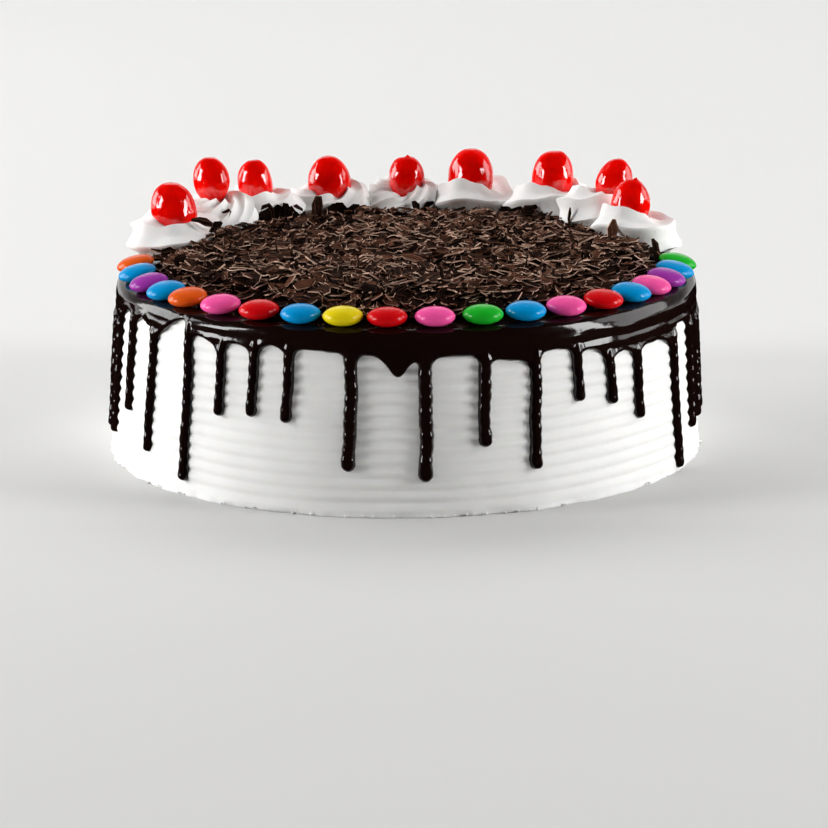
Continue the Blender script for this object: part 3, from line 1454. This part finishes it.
class CAKE_OT_stage(bpy.types.Operator):
    """Set up the floor, the soft lights and the camera"""

    bl_idname = "cake.stage"
    bl_label = "Stage"

    def execute(self, context):
        stage = settings("stage")
        self.make_floor(stage)
        self.make_lights()
        self.make_world(stage)
        self.make_camera(stage)
        context.scene.view_settings.view_transform = "Standard"
        return {"FINISHED"}

    def make_floor(self, stage):
        """A floor round the cake, and a sweep that goes on from it and climbs behind."""
        bend = np.linspace(0, RIGHT_ANGLE, 24)
        finish = self.floor_finish(stage)
        near = self.sheet("floor", [FLOOR_FRONT, FLOOR_BACK], [0.0, 0.0], finish)
        near.visible_glossy = False
        deep = SWEEP_START + SWEEP_RADIUS * np.sin(bend)
        high = SWEEP_RADIUS - SWEEP_RADIUS * np.cos(bend)
        deep = np.concatenate([[FLOOR_BACK], deep, deep[-1:]])
        high = np.concatenate([[0.0], high, [FLOOR_REACH]])
        self.sheet("backdrop", deep, high, finish)

    def sheet(self, name, deep, high, finish):
        """A wide sheet that runs from front to back through pairs of distance and height."""
        sides = np.array([[-FLOOR_REACH, FLOOR_REACH]])
        points = vectors(sides, np.array(deep)[:, None], np.array(high)[:, None]).reshape(-1, 3)
        row = np.arange(len(deep) - 1) * 2
        mesh = new_mesh(name, points, np.stack([row, row + 1, row + 3, row + 2], axis=-1))
        mesh.materials.append(finish)
        piece = bpy.data.objects.new(name, mesh)
        bpy.context.scene.collection.objects.link(piece)
        return piece

    def floor_finish(self, stage):
        """A matt floor whose tint changes from front to back."""
        graph = new_material("pale floor")
        deep = graph.node("ShaderNodeSeparateXYZ", None, {"Vector": graph.place()}, "Y")
        far = graph.node(
            "ShaderNodeMapRange",
            {"interpolation_type": "SMOOTHSTEP"},
            {"Value": deep, "From Min": TINT_FROM, "From Max": TINT_TO},
        )
        graph.surface(
            Base_Color=graph.blend(far, tuple(stage.floor), tuple(stage.wall)),
            Roughness=0.7,
        )
        return graph.owner

    def make_lights(self):
        """Softboxes at the sides, which make the highlights, and a wide lamp overhead."""
        for name, azimuth, width, power in SOFTBOXES:
            turned = math.radians(azimuth)
            x, y = SOFTBOX_DISTANCE * math.sin(turned), -SOFTBOX_DISTANCE * math.cos(turned)
            place = (x, y, SOFTBOX_LEVEL)
            area_light(f"softbox {name}", place, LIGHT_AIM, width, SOFTBOX_HEIGHT, power)
        overhead = area_light("overhead", *OVERHEAD)
        overhead.visible_glossy = False

    def make_world(self, stage):
        """Even light from behind that fades to dark in front, hidden from mirror rays."""
        world = bpy.data.worlds.new("studio")
        bpy.context.scene.world = world
        graph = Graph(world, "Background")
        way = graph.node("ShaderNodeTexCoord", output="Generated")
        deep = graph.node("ShaderNodeSeparateXYZ", None, {"Vector": way}, "Y")
        part = graph.node("ShaderNodeMapRange", None, {"Value": deep, "From Min": -1.0})
        graph.surface(
            Color=graph.ramp(part, (0.3, 0.04), (0.7, tuple(stage.backdrop))),
            Strength=WORLD_POWER,
        )
        world.cycles_visibility.glossy = False

    def make_camera(self, stage):
        """The camera, tipped down and leaned over as the settings say."""
        data = bpy.data.cameras.new("camera")
        data.lens = stage.lens
        data.sensor_width = 36
        data.clip_end = 30
        camera = bpy.data.objects.new("camera", data)
        bpy.context.scene.collection.objects.link(camera)
        turn = Matrix.Rotation(RIGHT_ANGLE - stage.pitch, 4, "X") @ Matrix.Rotation(-stage.roll, 4, "Z")
        camera.matrix_world = Matrix.Translation(stage.camera) @ turn
        bpy.context.scene.camera = camera


class CAKE_PT_panel(bpy.types.Panel):
    """The cake's pieces and their settings"""

    bl_label = "Black Forest Cake"
    bl_idname = "CAKE_PT_panel"
    bl_space_type = "VIEW_3D"
    bl_region_type = "UI"
    bl_category = "Cake"

    def draw(self, context):
        for operator, name, _ in STEPS:
            self.layout.operator(operator.bl_idname)
            group = settings(name)
            for key in group.bl_rna.properties.keys():
                if key not in ("rna_type", "name"):
                    self.layout.prop(group, key)


STEPS = (
    (CAKE_OT_cream, "cream", CreamSettings),
    (CAKE_OT_glaze, "glaze", GlazeSettings),
    (CAKE_OT_buttons, "button", ButtonSettings),
    (CAKE_OT_rosettes, "rosette", RosetteSettings),
    (CAKE_OT_cherries, "cherry", CherrySettings),
    (CAKE_OT_flakes, "flakes", FlakeSettings),
    (CAKE_OT_stage, "stage", StageSettings),
)


def register():
    for operator, name, group in STEPS:
        bpy.utils.register_class(group)
        setattr(bpy.types.Scene, f"cake_{name}", PointerProperty(type=group))
        bpy.utils.register_class(operator)
    bpy.utils.register_class(CAKE_PT_panel)


def unregister():
    bpy.utils.unregister_class(CAKE_PT_panel)
    for operator, name, group in reversed(STEPS):
        bpy.utils.unregister_class(operator)
        delattr(bpy.types.Scene, f"cake_{name}")
        bpy.utils.unregister_class(group)


def main():
    register()
    for operator, _, _ in STEPS:
        prefix, name = operator.bl_idname.split(".")
        getattr(getattr(bpy.ops, prefix), name)()


if __name__ == "__main__":
    main()
